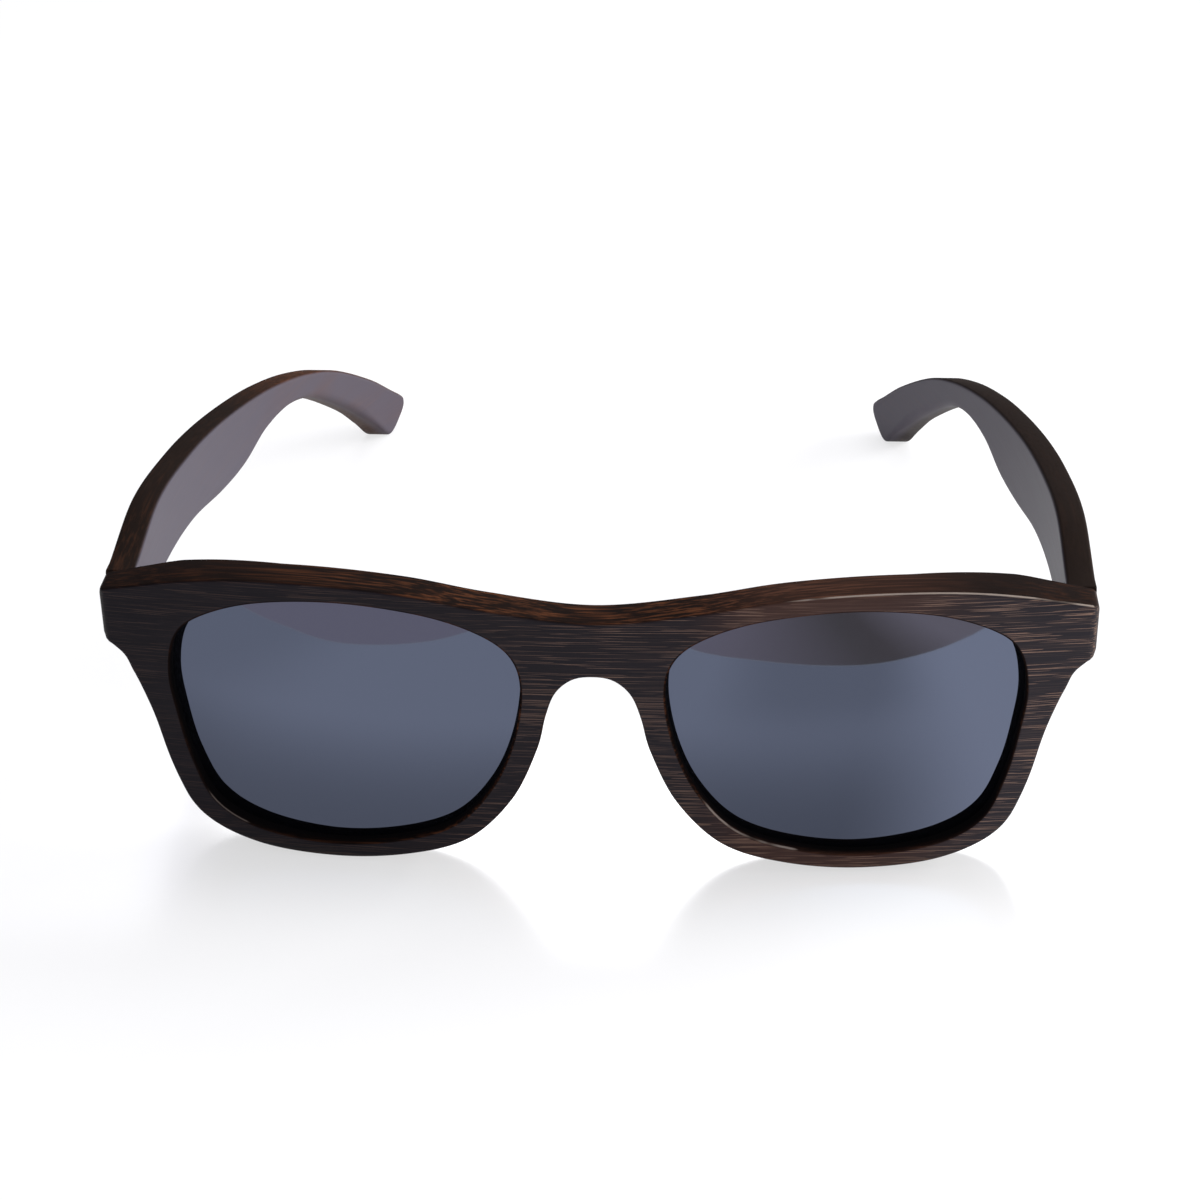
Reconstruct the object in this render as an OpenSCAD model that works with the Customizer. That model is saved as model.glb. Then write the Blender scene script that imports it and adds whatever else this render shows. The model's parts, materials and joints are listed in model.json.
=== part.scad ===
// Wooden sunglasses: a bamboo front, two curved lenses and two temples on spring hinges.
// Millimetres. Left and right are the wearer's, who looks along -Y, so left is +X.
// Everything is drawn with the front upright and its face at y = 0 in the middle, and
// the assembly is then leant back until the rims and the temple tips touch the table.

/* [Lenses] */
// Width of a lens opening
lens_width = 53; // [50:0.5:56]
// Height of a lens opening
lens_height = 42.2; // [40:0.2:45]
// Distance between the two lens openings
bridge_width = 21.5; // [19:0.5:25]
// Thickness of a lens
lens_thickness = 1.2; // [1:0.1:1.5]
// Radius that a lens is curved to
lens_radius = 160; // [140:5:260]
// Depth of the middle of a lens behind the front face
lens_recess = 0.5; // [0.4:0.1:2.2]
// Depth of the groove that holds the edge of a lens
groove_depth = 0.8; // [0.5:0.1:1]
// Room round the edge of a lens in its groove
lens_clearance = 0.05; // [0.03:0.01:0.08]

/* [Front] */
// Radius of the slight wrap round the face
wrap_radius = 515; // [450:5:900]
// Thickness of the rims
rim_thickness = 6; // [5.8:0.1:7]
// Width of the rim under a lens
rim_bottom = 2.6; // [2.2:0.1:4]
// Width of the rim beside a lens
rim_side = 3.9; // [3.5:0.1:4.5]
// Width of the rim over a lens
rim_top = 3.1; // [2.6:0.1:4.5]
// How far the top edge dips at the bridge
bridge_dip = 4.9; // [3:0.1:6]
// Height of the wood between the nose arch and the top edge
bridge_height = 9.1; // [8:0.1:11]
// Width of an end piece, from the lens opening outwards
end_width = 10; // [9:0.1:12]
// Height of an end piece at its outer side
end_height = 9; // [8.6:0.1:10]
// How far the top edge drops from its highest point to the outer side
end_drop = 3.5; // [2:0.1:5]
// Thickness of an end piece at its outer side
end_thickness = 5.4; // [4.6:0.1:7]
// Bevel on the outer corner of an end piece
end_bevel = 0.9; // [0.4:0.1:1.4]

/* [Temples] */
// Length of a temple, square to the front
temple_length = 123.5; // [115:0.5:135]
// Height of a temple at the hinge
temple_height = 9.4; // [9:0.1:11]
// Thickness of a temple
temple_thickness = 4.4; // [4:0.1:5.5]
// Length of the straight stretch at the hinge
temple_straight = 13.5; // [6:0.5:20]
// Radius that a temple is bowed inwards to
temple_bow = 268; // [220:2:400]
// Drop from the middle of the hinge to the lowest point of the tip
hook_drop = 29.5; // [24:0.1:34]
// Gap between a temple and its end piece when open
joint_gap = 0.2; // [0.1:0.05:0.4]

/* [Hinges] */
// Radius of the knuckles
knuckle_radius = 1.5; // [1.3:0.05:1.6]
// Height of each of the two front knuckles
knuckle_height = 1.5; // [1.2:0.1:1.6]
// Height of the eye between them
eye_height = 2; // [1.6:0.1:2.2]
// Gap between the eye and each knuckle
knuckle_gap = 0.05; // [0.03:0.01:0.1]
// Radius of the pivot screw
pivot_radius = 0.58; // [0.5:0.01:0.7]
// Radial clearance of the pivot screw and the slider rod
running_clearance = 0.04; // [0.02:0.01:0.08]
// Distance of the pivot behind the end piece
pivot_back = 1.95; // [1.9:0.05:2.6]
// Distance of the pivot inside the temple's inner face
pivot_inset = 1.2; // [1:0.05:1.4]
// Thickness of the front hinge plate
plate_thickness = 1; // [0.8:0.1:1.2]
// Width of the front hinge plate
plate_width = 5.9; // [5.8:0.1:6.2]
// Height of the front hinge plate
plate_height = 6.2; // [5.6:0.1:6.6]
// Depth of the spring's axis in the temple, from its inner face
rod_depth = 2.1; // [2:0.05:2.4]
// Thickness of the spring housing's sides
housing_side = 0.28; // [0.2:0.02:0.3]
// Thickness of the flange at the mouth of the spring housing
flange_thickness = 0.8; // [0.7:0.05:1]
// Room round metal that is let into wood
inlet_clearance = 0.04; // [0.02:0.01:0.08]

/* [Springs] */
// Radius of the slider rod
rod_radius = 0.5; // [0.4:0.02:0.55]
// Length of a spring
spring_length = 9; // [8:0.1:10]
// Radius of a spring to the middle of its wire
spring_radius = 0.92; // [0.88:0.01:0.95]
// Thickness of the spring wire
spring_wire = 0.3; // [0.2:0.02:0.36]
// Number of turns of a spring
spring_turns = 10; // [8:1:11]

/* [Wood screws] */
// Radius of a wood screw's shank
screw_radius = 0.55; // [0.45:0.01:0.6]
// Radius of a wood screw's head
screw_head_radius = 1; // [0.9:0.02:1.1]
// Depth of a wood screw's conical head
screw_head_depth = 0.5; // [0.4:0.05:0.6]
// Length of a wood screw in the front
front_screw_length = 3.2; // [2.8:0.1:3.6]
// Length of a wood screw in a temple
temple_screw_length = 3.2; // [2.6:0.1:3.4]
// Distance between two wood screws
screw_spacing = 3.1; // [2.8:0.1:3.3]

/* [Hidden] */
$fn = 64;
// Facets of the large curves of the preview mesh
large_fn = 720;
lens_fn = 300;

// Curves: a smooth line through all points but the first and the last, which only steer it
curve_steps = 6;
function curve_point(a, b, c, d, t) =
    0.5 * (2 * b + (c - a) * t + (2 * a - 5 * b + 4 * c - d) * t * t + (3 * b - a - 3 * c + d) * t * t * t);
function smooth(p) = [
    for (i = [1 : len(p) - 3], k = [0 : curve_steps - 1])
        curve_point(p[i - 1], p[i], p[i + 1], p[i + 2], k / curve_steps),
    p[len(p) - 2]
];
function smooth_loop(p) = let (n = len(p)) [
    for (i = [0 : n - 1], k = [0 : curve_steps - 1])
        curve_point(p[(i + n - 1) % n], p[i], p[(i + 1) % n], p[(i + 2) % n], k / curve_steps)
];
// Outward direction at a point of a loop that runs clockwise
function outward(p, i) = let (n = len(p), d = p[(i + 1) % n] - p[(i + n - 1) % n]) [-d.y, d.x] / norm(d);
function grow(p, by) = [for (i = [0 : len(p) - 1]) p[i] + by * outward(p, i)];
function flip(p) = [for (i = [len(p) - 1 : -1 : 0]) [-p[i].x, p[i].y]];
// Part of a list, for joining lines that share an end point
function but_last(p) = [for (i = [0 : len(p) - 2]) p[i]];
function but_ends(p) = [for (i = [1 : len(p) - 2]) p[i]];

// Lens opening in the plane of the front, clockwise from its outer side, as shares of its width and height
eye_shape = [
    [1, 0.67], [0.986, 0.506], [0.956, 0.317], [0.897, 0.14], [0.769, 0.04], [0.559, 0], [0.354, 0.032],
    [0.199, 0.111], [0.0915, 0.27], [0.0275, 0.46], [0, 0.67], [0.026, 0.81], [0.118, 0.902],
    [0.278, 0.968], [0.514, 1], [0.741, 0.978], [0.901, 0.909], [0.975, 0.821]
];
eye_in = bridge_width / 2;
eye_out = eye_in + lens_width;
front_half = eye_out + end_width;
front_top = rim_bottom + lens_height + rim_top;
eye_points = [for (s = eye_shape) [eye_in + s.x * lens_width, rim_bottom + s.y * lens_height]];
eye_outline = smooth_loop(eye_points);
lens_outline = grow(eye_outline, groove_depth - lens_clearance);
groove_outline = grow(eye_outline, groove_depth);

// Outline of the front: the top edge dips at the bridge and drops to the end pieces
end_top = front_top - end_drop;
end_low = end_top - end_height;
end_mid = end_top - temple_height / 2;
bridge_top = front_top - bridge_dip;
bridge_low = bridge_top - bridge_height;
brow = [eye_in + 0.09 * lens_width, bridge_top + 0.36 * bridge_dip];
top_edge = smooth([
    [-brow.x, brow.y],
    [0, bridge_top],
    brow,
    [eye_in + 0.33 * lens_width, front_top - 0.2 * bridge_dip],
    [eye_in + 0.61 * lens_width, front_top],
    [eye_in + 0.89 * lens_width, front_top - 0.16 * end_drop],
    [front_half, end_top],
    [front_half + end_width, end_top - end_drop]
]);
// The rims follow the lens openings, wider beside a lens than under it
first_rim = 1;
last_rim = 9;
rim_points = [
    for (i = [first_rim : last_rim])
        let (n = outward(eye_points, i)) eye_points[i] + n * (rim_bottom + (rim_side - rim_bottom) * abs(n.x))
];
end_fillet = 1.2;
arch_half = 0.286 * bridge_width;
low_edge = smooth(concat(
    [[front_half, end_low + end_fillet], [front_half - 0.3 * end_fillet, end_low + 0.3 * end_fillet]],
    [[front_half - 1.3 * end_fillet, end_low - 0.4 * end_fillet]],
    [[eye_out + 1.6 * rim_side, end_low - 0.32 * end_height]],
    [[eye_out + 1.25 * rim_side, end_low - 0.81 * end_height]],
    rim_points,
    [[1.15 * arch_half, bridge_low - 0.77 * bridge_height]],
    [[0.91 * arch_half, bridge_low - 0.33 * bridge_height]],
    [for (s = [0.5, 0, -0.5]) [s * arch_half, bridge_low - 0.13 * abs(s) * bridge_height]]
));
half_outline = concat(top_edge, [[front_half, end_low + end_fillet]], low_edge);
front_outline = concat(half_outline, but_ends(flip(half_outline)));

// Plan of the front: a wrapped slab whose end pieces have one flat back
function face_y(x) = wrap_radius - sqrt(pow(wrap_radius, 2) - x * x);
function back_y(x) = wrap_radius - sqrt(pow(wrap_radius - rim_thickness, 2) - x * x);
end_back = face_y(front_half) + end_thickness;
// The back slopes up to the flat of the end piece beside the lens opening
block_in = eye_out - 0.2 * end_width;
slope_in = eye_in + 0.67 * lens_width;
slope_rise = (end_back - back_y(slope_in)) / (block_in - slope_in);
function slope_y(x) = back_y(slope_in) + slope_rise * (x - slope_in);
function slab_back(x) = x < slope_in ? back_y(x) : min(end_back, max(back_y(x), slope_y(x)));

// Lens: a shell of a sphere on the normal of the front face at the middle of the opening
lens_mid = [eye_in + lens_width / 2, rim_bottom + lens_height / 2];
lens_angle = asin(lens_mid.x / wrap_radius);
lens_reach = wrap_radius - lens_recess - lens_radius;
lens_centre = [lens_reach * sin(lens_angle), wrap_radius - lens_reach * cos(lens_angle), lens_mid.y];

// Side view of a temple: shares of its length, height and drop, along the top and along the bottom
temple_start = end_back + joint_gap;
function temple_point(s) =
    [temple_start + s[0] * temple_length, end_mid + s[1] * temple_height - s[2] * hook_drop];
temple_top = smooth([for (s = [
    [-0.15, 0.4, 0], [0, 0.5, 0], [0.152, 0.75, 0], [0.303, 0.61, 0], [0.41, 0.45, 0],
    [0.527, 0.21, 0], [0.623, -0.03, 0], [0.724, 0, 0.121], [0.818, 0, 0.275],
    [0.915, 0, 0.522], [0.986, 0, 0.755], [1.07, 0, 1]
]) temple_point(s)]);
temple_end = smooth([for (s = [
    [0.915, 0, 0.522], [0.986, 0, 0.755], [1, 0, 0.834],
    [0.989, 0, 0.92], [0.957, 0, 1], [0.922, 0, 0.856]
]) temple_point(s)]);
temple_low = smooth([for (s = [
    [1, 0, 1.05], [0.957, 0, 1], [0.922, 0, 0.856], [0.853, 0, 0.611], [0.756, 0, 0.346],
    [0.673, -0.732, 0], [0.593, -0.722, 0], [0.511, -0.926, 0], [0.42, -0.886, 0],
    [0.295, -0.62, 0], [0.155, -0.5, 0], [0, -0.5, 0], [-0.15, -0.5, 0]
]) temple_point(s)]);
temple_profile = concat(but_last(temple_top), but_last(temple_end), temple_low);

// Resting place: lean back until the lowest points of rims and tips are level
function height_at(p, lean) = p.y * cos(lean) - p.x * sin(lean);
function depth_at(p, lean) = p.x * cos(lean) + p.y * sin(lean);
front_edge = [for (p = low_edge) [slab_back(abs(p.x)), p.y]];
function lowest(points, lean) = min([for (p = points) height_at(p, lean)]);
function settle(low, high, rounds) =
    let (mid = (low + high) / 2)
    rounds == 0 ? mid
    : lowest(front_edge, mid) < lowest(temple_profile, mid) ? settle(mid, high, rounds - 1)
    : settle(low, mid, rounds - 1);
rest_lean = settle(0, 20, 30);
rest_lift = -lowest(front_edge, rest_lean);
rest_front = min([for (p = half_outline) depth_at([face_y(p.x), p.y], rest_lean)]);
rest_back = max([for (p = temple_profile) depth_at(p, rest_lean)]);
rest_shift = -(rest_front + rest_back) / 2;

// Hinge: pivot, slider and housing of the left side; the right side is its mirror image
inner_x = front_half - temple_thickness;
pivot = [inner_x - pivot_inset, end_back + pivot_back, end_mid];
stack_half = eye_height / 2 + knuckle_gap + knuckle_height;
pivot_bore = pivot_radius + running_clearance;
pivot_head_radius = 1.2;
pivot_head_height = 0.8;
pivot_end = 0.3;
web_half = 0.9;
neck_half = 0.95;
plate_out = pivot.x + knuckle_radius;
plate_in = plate_out - plate_width;
eye_to_housing = 0.7;
housing_start = pivot.y + knuckle_radius + eye_to_housing;
housing_wall = 1.2;
rod_x = inner_x + rod_depth;
shoulder = housing_start + housing_wall;
chamber_room = 0.15;
chamber_radius = spring_radius + spring_wire / 2 + chamber_room;
housing_half = chamber_radius + housing_side;
seat_gap = 0.05;
stop_start = shoulder + spring_length + 2 * seat_gap;
stop_length = 1;
stop_fit = 0.02;
rod_stub = 0.2;
rod_end = stop_start + stop_length + rod_stub;
chamber_end = rod_end + 0.4;
housing_cap = 0.9;
housing_end = chamber_end + housing_cap;
relief = 0.3;
slot_width = 0.3;
slot_depth = 0.25;
screw_edge = 0.2;
plate_edge = 0.35;
front_screw_x = plate_in + screw_head_radius + plate_edge;
front_screws = [for (k = [-0.5, 0.5]) [front_screw_x, end_back, end_mid + k * screw_spacing]];
flange_ear = housing_half + inlet_clearance + screw_radius + screw_edge;
flange_half = flange_ear + screw_head_radius + screw_edge;
temple_screws = [for (k = [-1, 1]) [rod_x, housing_start, end_mid + k * flange_ear]];
bamboo = [0.16, 0.1, 0.07];
steel = [0.75, 0.75, 0.77];
echo(pivot_rest = [pivot.x, depth_at([pivot.y, pivot.z], rest_lean) + rest_shift,
    height_at([pivot.y, pivot.z], rest_lean) + rest_lift], rest_lean = rest_lean);

// Placing
module at_rest() {
    translate([0, rest_shift, rest_lift]) rotate([-rest_lean, 0, 0]) children();
}
module right() {
    mirror([1, 0, 0]) children();
}
module both() {
    children();
    right() children();
}
// Extrudes an outline in x and z along y, or one in y and z along x
module along_y(from, to) {
    translate([0, to, 0]) rotate([90, 0, 0]) linear_extrude(to - from) children();
}
module along_x(from, to) {
    translate([from, 0, 0]) rotate([90, 0, 90]) linear_extrude(to - from) children();
}
// A box between two corners
module box(a, b) {
    translate(a) cube(b - a);
}

// Fastenings
module wood_screw(length) {
    difference() {
        rotate_extrude() polygon([
            [0, 0], [screw_head_radius, 0], [screw_radius, -screw_head_depth],
            [screw_radius, -length + screw_radius], [0, -length]
        ]);
        box([-screw_head_radius, -slot_width / 2, -slot_depth], [screw_head_radius, slot_width / 2, 1]);
    }
}
module screw_hole(length) {
    room = running_clearance;
    rotate_extrude() polygon([
        [0, 1], [screw_head_radius + room, 1], [screw_head_radius + room, 0],
        [screw_radius + room, -screw_head_depth], [screw_radius + room, -length], [0, -length]
    ]);
}
module at_front_screws() {
    for (p = front_screws) translate(p) rotate([-90, 0, 0]) children();
}
module at_temple_screws() {
    for (p = temple_screws) translate(p) rotate([90, 0, 0]) children();
}

// Front
module front_plan() {
    slope_end = block_in + 1 / slope_rise;
    hollow_side = [[slope_in - end_width, 0], [slope_in, back_y(slope_in)], [slope_end, end_back + 1]];
    difference() {
        intersection() {
            translate([0, wrap_radius]) circle(wrap_radius, $fn = large_fn);
            translate([-front_half - 1, -1]) square([2 * front_half + 2, end_back + 1]);
        }
        intersection() {
            translate([0, wrap_radius]) circle(wrap_radius - rim_thickness, $fn = large_fn);
            polygon(concat(hollow_side, flip(hollow_side)));
        }
        for (s = [-1, 1]) translate([s * front_half, face_y(front_half)]) rotate(45)
            square(end_bevel * sqrt(2), center = true);
    }
}
module lens_shell(room) {
    translate(lens_centre) difference() {
        sphere(lens_radius + room, $fn = lens_fn);
        sphere(lens_radius - lens_thickness - room, $fn = lens_fn);
    }
}
module lens_blank() {
    intersection() {
        lens_shell(0);
        along_y(-1, end_back) polygon(lens_outline);
    }
}
module plate_recess() {
    room = inlet_clearance;
    box([plate_in - room, end_back - plate_thickness - room, end_mid - plate_height / 2 - room],
        [plate_out + room, end_back + 1, end_mid + plate_height / 2 + room]);
}
module front_frame() {
    color(bamboo) at_rest() difference() {
        intersection() {
            linear_extrude(front_top + 1) front_plan();
            along_y(-1, end_back + 1) polygon(front_outline);
        }
        both() {
            along_y(-1, end_back + 1) polygon(eye_outline);
            intersection() {
                lens_shell(lens_clearance);
                along_y(-1, end_back + 1) polygon(groove_outline);
            }
            plate_recess();
            at_front_screws() screw_hole(front_screw_length);
        }
    }
}
module lens() {
    color([0.3, 0.33, 0.37]) lens_blank();
}
module lens_left() {
    at_rest() lens();
}
module lens_right() {
    at_rest() right() lens();
}

// Temples
module temple_plan() {
    bow_centre = [front_half - temple_bow, temple_start + temple_straight];
    translate([inner_x, temple_start]) square([temple_thickness, temple_straight]);
    intersection() {
        translate(bow_centre) difference() {
            circle(temple_bow, $fn = large_fn);
            circle(temple_bow - temple_thickness, $fn = large_fn);
        }
        translate([0, bow_centre.y]) square([front_half + 1, temple_length]);
    }
}
module temple_inlet() {
    room = inlet_clearance;
    half = housing_half + room;
    box([inner_x - 1, temple_start - 1, end_mid - stack_half - relief],
        [plate_out + relief, housing_start, end_mid + stack_half + pivot_head_height + relief]);
    box([rod_x - half, temple_start - 1, end_mid - flange_half - room],
        [rod_x + half, housing_start + flange_thickness + room, end_mid + flange_half + room]);
    box([rod_x - half, housing_start, end_mid - half], [rod_x + half, housing_end + room, end_mid + half]);
}
module temple() {
    color(bamboo) difference() {
        intersection() {
            linear_extrude(2 * front_top) temple_plan();
            along_x(0, front_half + 1) polygon(temple_profile);
        }
        temple_inlet();
        at_temple_screws() screw_hole(temple_screw_length);
    }
}
module temple_left() {
    at_rest() temple();
}
module temple_right() {
    at_rest() right() temple();
}

// Hinges
module knuckle(low, high) {
    translate([pivot.x, pivot.y, low]) cylinder(r = knuckle_radius, h = high - low);
    box([pivot.x - web_half, end_back - plate_thickness / 2, low], [pivot.x + web_half, pivot.y, high]);
}
module pivot_hole() {
    translate([pivot.x, pivot.y, pivot.z - 2 * stack_half]) cylinder(r = pivot_bore, h = 4 * stack_half);
}
module front_hinge() {
    inner = eye_height / 2 + knuckle_gap;
    color(steel) difference() {
        union() {
            box([plate_in, end_back - plate_thickness, end_mid - plate_height / 2],
                [plate_out, end_back, end_mid + plate_height / 2]);
            knuckle(pivot.z - stack_half, pivot.z - inner);
            knuckle(pivot.z + inner, pivot.z + stack_half);
        }
        pivot_hole();
        at_front_screws() screw_hole(front_screw_length);
    }
}
module pivot_screw() {
    top = pivot.z + stack_half;
    color(steel) difference() {
        translate([pivot.x, pivot.y, 0]) rotate_extrude() polygon([
            [0, pivot.z - stack_half - pivot_end], [pivot_radius, pivot.z - stack_half - pivot_end],
            [pivot_radius, top], [pivot_head_radius, top], [pivot_head_radius, top + pivot_head_height],
            [0, top + pivot_head_height]
        ]);
        box([pivot.x - 2, pivot.y - slot_width / 2, top + pivot_head_height - slot_depth],
            [pivot.x + 2, pivot.y + slot_width / 2, top + 2]);
    }
}
module front_hinge_screws() {
    color(steel) at_front_screws() wood_screw(front_screw_length);
}
module slider() {
    color(steel) difference() {
        union() {
            translate([pivot.x, pivot.y, pivot.z - eye_height / 2])
                cylinder(r = knuckle_radius, h = eye_height);
            box([pivot.x, pivot.y, pivot.z - eye_height / 2],
                [rod_x + neck_half, housing_start - seat_gap, pivot.z + eye_height / 2]);
            translate([rod_x, pivot.y + knuckle_radius, pivot.z]) rotate([-90, 0, 0])
                cylinder(r = rod_radius, h = rod_end - pivot.y - knuckle_radius);
        }
        pivot_hole();
    }
}
module temple_hinge() {
    bore = rod_radius + running_clearance;
    color(steel) difference() {
        union() {
            box([rod_x - housing_half, housing_start, end_mid - housing_half],
                [rod_x + housing_half, housing_end, end_mid + housing_half]);
            box([rod_x - housing_half, housing_start, end_mid - flange_half],
                [rod_x + housing_half, housing_start + flange_thickness, end_mid + flange_half]);
        }
        translate([rod_x, housing_start - 1, end_mid]) rotate([-90, 0, 0])
            cylinder(r = bore, h = 2 * housing_wall);
        translate([rod_x, shoulder, end_mid]) rotate([-90, 0, 0])
            cylinder(r = chamber_radius, h = chamber_end - shoulder);
        at_temple_screws() screw_hole(temple_screw_length);
    }
}
module temple_hinge_screws() {
    color(steel) at_temple_screws() wood_screw(temple_screw_length);
}
module spring_stop() {
    color(steel) translate([rod_x, stop_start, end_mid]) rotate([-90, 0, 0]) difference() {
        cylinder(r = chamber_radius - chamber_room / 2, h = stop_length);
        translate([0, 0, -1]) cylinder(r = rod_radius + stop_fit, h = stop_length + 2);
    }
}

// Spring: one wire swept round the slider rod
turn_rings = 8;
wire_sides = 6;
wire_start = shoulder + seat_gap + spring_wire / 2;
wire_run = spring_length - spring_wire;
wire_rings = spring_turns * turn_rings;
wire_rise = wire_run / wire_rings;
wire_slope = atan2(wire_run / spring_turns, 2 * PI * spring_radius);
function wire_mid(i) = let (a = 360 * i / turn_rings)
    [rod_x + spring_radius * cos(a), wire_start + i * wire_rise, end_mid + spring_radius * sin(a)];
function wire_ring(i) = let (a = 360 * i / turn_rings, out = [cos(a), 0, sin(a)],
    side = [sin(a) * sin(wire_slope), cos(wire_slope), -cos(a) * sin(wire_slope)])
    [for (k = [0 : wire_sides - 1])
        wire_mid(i) + spring_wire / 2 * (cos(360 * k / wire_sides) * out + sin(360 * k / wire_sides) * side)];
spring_gap = min([
    for (i = [0 : wire_rings - turn_rings - 1], k = [-1 : 1]) norm(wire_mid(i) - wire_mid(i + turn_rings + k))
]) - spring_wire;
echo(spring_self_gap = spring_gap);
module spring() {
    last = wire_rings * wire_sides;
    color(steel) polyhedron(
        points = [for (i = [0 : wire_rings], p = wire_ring(i)) p],
        faces = concat(
            [for (i = [0 : wire_rings - 1], k = [0 : wire_sides - 1])
                let (a = i * wire_sides + k, b = i * wire_sides + (k + 1) % wire_sides) [a, b, a + wire_sides]],
            [for (i = [0 : wire_rings - 1], k = [0 : wire_sides - 1])
                let (a = i * wire_sides + k, b = i * wire_sides + (k + 1) % wire_sides)
                    [b, b + wire_sides, a + wire_sides]],
            [for (k = [1 : wire_sides - 2]) [0, k + 1, k]],
            [for (k = [1 : wire_sides - 2]) [last, last + k, last + k + 1]]
        )
    );
}

module front_hinge_left() {
    at_rest() front_hinge();
}
module front_hinge_right() {
    at_rest() right() front_hinge();
}
module front_hinge_screws_left() {
    at_rest() front_hinge_screws();
}
module front_hinge_screws_right() {
    at_rest() right() front_hinge_screws();
}
module pivot_screw_left() {
    at_rest() pivot_screw();
}
module pivot_screw_right() {
    at_rest() right() pivot_screw();
}
module slider_left() {
    at_rest() slider();
}
module slider_right() {
    at_rest() right() slider();
}
module temple_hinge_left() {
    at_rest() temple_hinge();
}
module temple_hinge_right() {
    at_rest() right() temple_hinge();
}
module temple_hinge_screws_left() {
    at_rest() temple_hinge_screws();
}
module temple_hinge_screws_right() {
    at_rest() right() temple_hinge_screws();
}
module spring_left() {
    at_rest() spring();
}
module spring_right() {
    at_rest() right() spring();
}
module spring_stop_left() {
    at_rest() spring_stop();
}
module spring_stop_right() {
    at_rest() right() spring_stop();
}

front_frame();
lens_left();
lens_right();
temple_left();
temple_right();
front_hinge_left();
front_hinge_right();
front_hinge_screws_left();
front_hinge_screws_right();
pivot_screw_left();
pivot_screw_right();
slider_left();
slider_right();
temple_hinge_left();
temple_hinge_right();
temple_hinge_screws_left();
temple_hinge_screws_right();
spring_left();
spring_right();
spring_stop_left();
spring_stop_right();
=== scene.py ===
import json
import math
import bmesh
import bpy
import numpy as np
from mathutils import Matrix, Vector
from mathutils.geometry import delaunay_2d_cdt


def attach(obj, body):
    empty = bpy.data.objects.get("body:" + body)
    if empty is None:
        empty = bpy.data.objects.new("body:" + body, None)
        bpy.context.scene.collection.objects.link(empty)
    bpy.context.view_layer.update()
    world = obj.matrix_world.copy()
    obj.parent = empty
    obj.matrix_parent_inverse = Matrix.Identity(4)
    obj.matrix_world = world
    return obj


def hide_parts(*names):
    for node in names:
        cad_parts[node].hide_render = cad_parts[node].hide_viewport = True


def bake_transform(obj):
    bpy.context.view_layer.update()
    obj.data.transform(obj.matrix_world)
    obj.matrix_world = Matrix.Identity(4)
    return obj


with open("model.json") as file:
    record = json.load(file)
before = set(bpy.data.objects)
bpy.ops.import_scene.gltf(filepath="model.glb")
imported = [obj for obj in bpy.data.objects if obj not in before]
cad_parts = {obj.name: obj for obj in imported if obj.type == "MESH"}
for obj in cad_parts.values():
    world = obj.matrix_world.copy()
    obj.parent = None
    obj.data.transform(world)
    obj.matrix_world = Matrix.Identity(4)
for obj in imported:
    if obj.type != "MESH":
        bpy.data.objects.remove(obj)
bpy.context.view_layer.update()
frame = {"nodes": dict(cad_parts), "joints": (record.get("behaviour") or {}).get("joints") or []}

# Front frame: one slab of dark stained bamboo, steamed to a slight wrap, sawn to outline, with the two
# lens openings routed through it. The edges are sanded round and the face is oiled to a satin, so the
# pale fibres show as fine dashes. The thin light line along the edges is partly abrasion and partly a
# painted highlight.
lens_width, lens_height, bridge_width = 53.0, 42.2, 21.5
rim_bottom, rim_side, rim_top = 2.6, 3.9, 3.1
bridge_dip, bridge_height = 4.9, 9.1
end_width, end_height, end_drop, end_thickness = 10.0, 9.0, 3.5, 5.4
wrap_radius, rim_thickness = 515.0, 6.0
temple_height, temple_thickness = 9.4, 4.4
pivot_inset, pivot_back, knuckle_radius = 1.2, 1.95, 1.5
eye_in = bridge_width / 2
eye_out = eye_in + lens_width
front_half = eye_out + end_width
front_top = rim_bottom + lens_height + rim_top
end_top = front_top - end_drop
end_low = end_top - end_height
end_mid = end_top - temple_height / 2
bridge_top = front_top - bridge_dip
bridge_low = bridge_top - bridge_height
inner_x = front_half - temple_thickness


def face_y(x):
    return wrap_radius - np.sqrt(wrap_radius ** 2 - x * x)


# The bench is where the front stands upright; at rest the whole leans back on its rims and tips.
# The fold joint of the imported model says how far, and where the bench's hinge pivot ends up.
end_back = float(face_y(front_half)) + end_thickness
pivot = np.array([inner_x - pivot_inset, end_back + pivot_back, end_mid])
fold = next(j for j in frame["joints"] if j["name"] == "left_fold")
lean_sin, lean_cos = fold["axis"][1], fold["axis"][2]
lean = np.array([[1, 0, 0], [0, lean_cos, lean_sin], [0, -lean_sin, lean_cos]])
rest_offset = np.array(fold["pos_m"]) * 1000 - lean @ pivot


def stand(bench):
    """Bench millimetres to metres at rest."""
    return (np.asarray(bench) @ lean.T + rest_offset) / 1000


def lay_back(world):
    """Metres at rest to bench millimetres."""
    return (np.asarray(world) * 1000 - rest_offset) @ lean


def ramp(value, low, high):
    return np.clip((value - low) / (high - low), 0, 1)


def through(points, steps=14):
    """A smooth line through the points, where the first and the last only steer it."""
    p = np.array(points, float)
    t = (np.arange(steps) / steps)[:, None]
    spans = []
    for a, b, c, d in zip(p, p[1:], p[2:], p[3:]):
        bend, twist = 2 * a - 5 * b + 4 * c - d, 3 * b - a - 3 * c + d
        spans.append(0.5 * (2 * b + (c - a) * t + bend * t ** 2 + twist * t ** 3))
    return np.vstack(spans + [p[-2:-1]])


def round_trip(points):
    p = np.array(points, float)
    return through(np.vstack([p[-1:], p, p[:2]]))[:-1]


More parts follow.
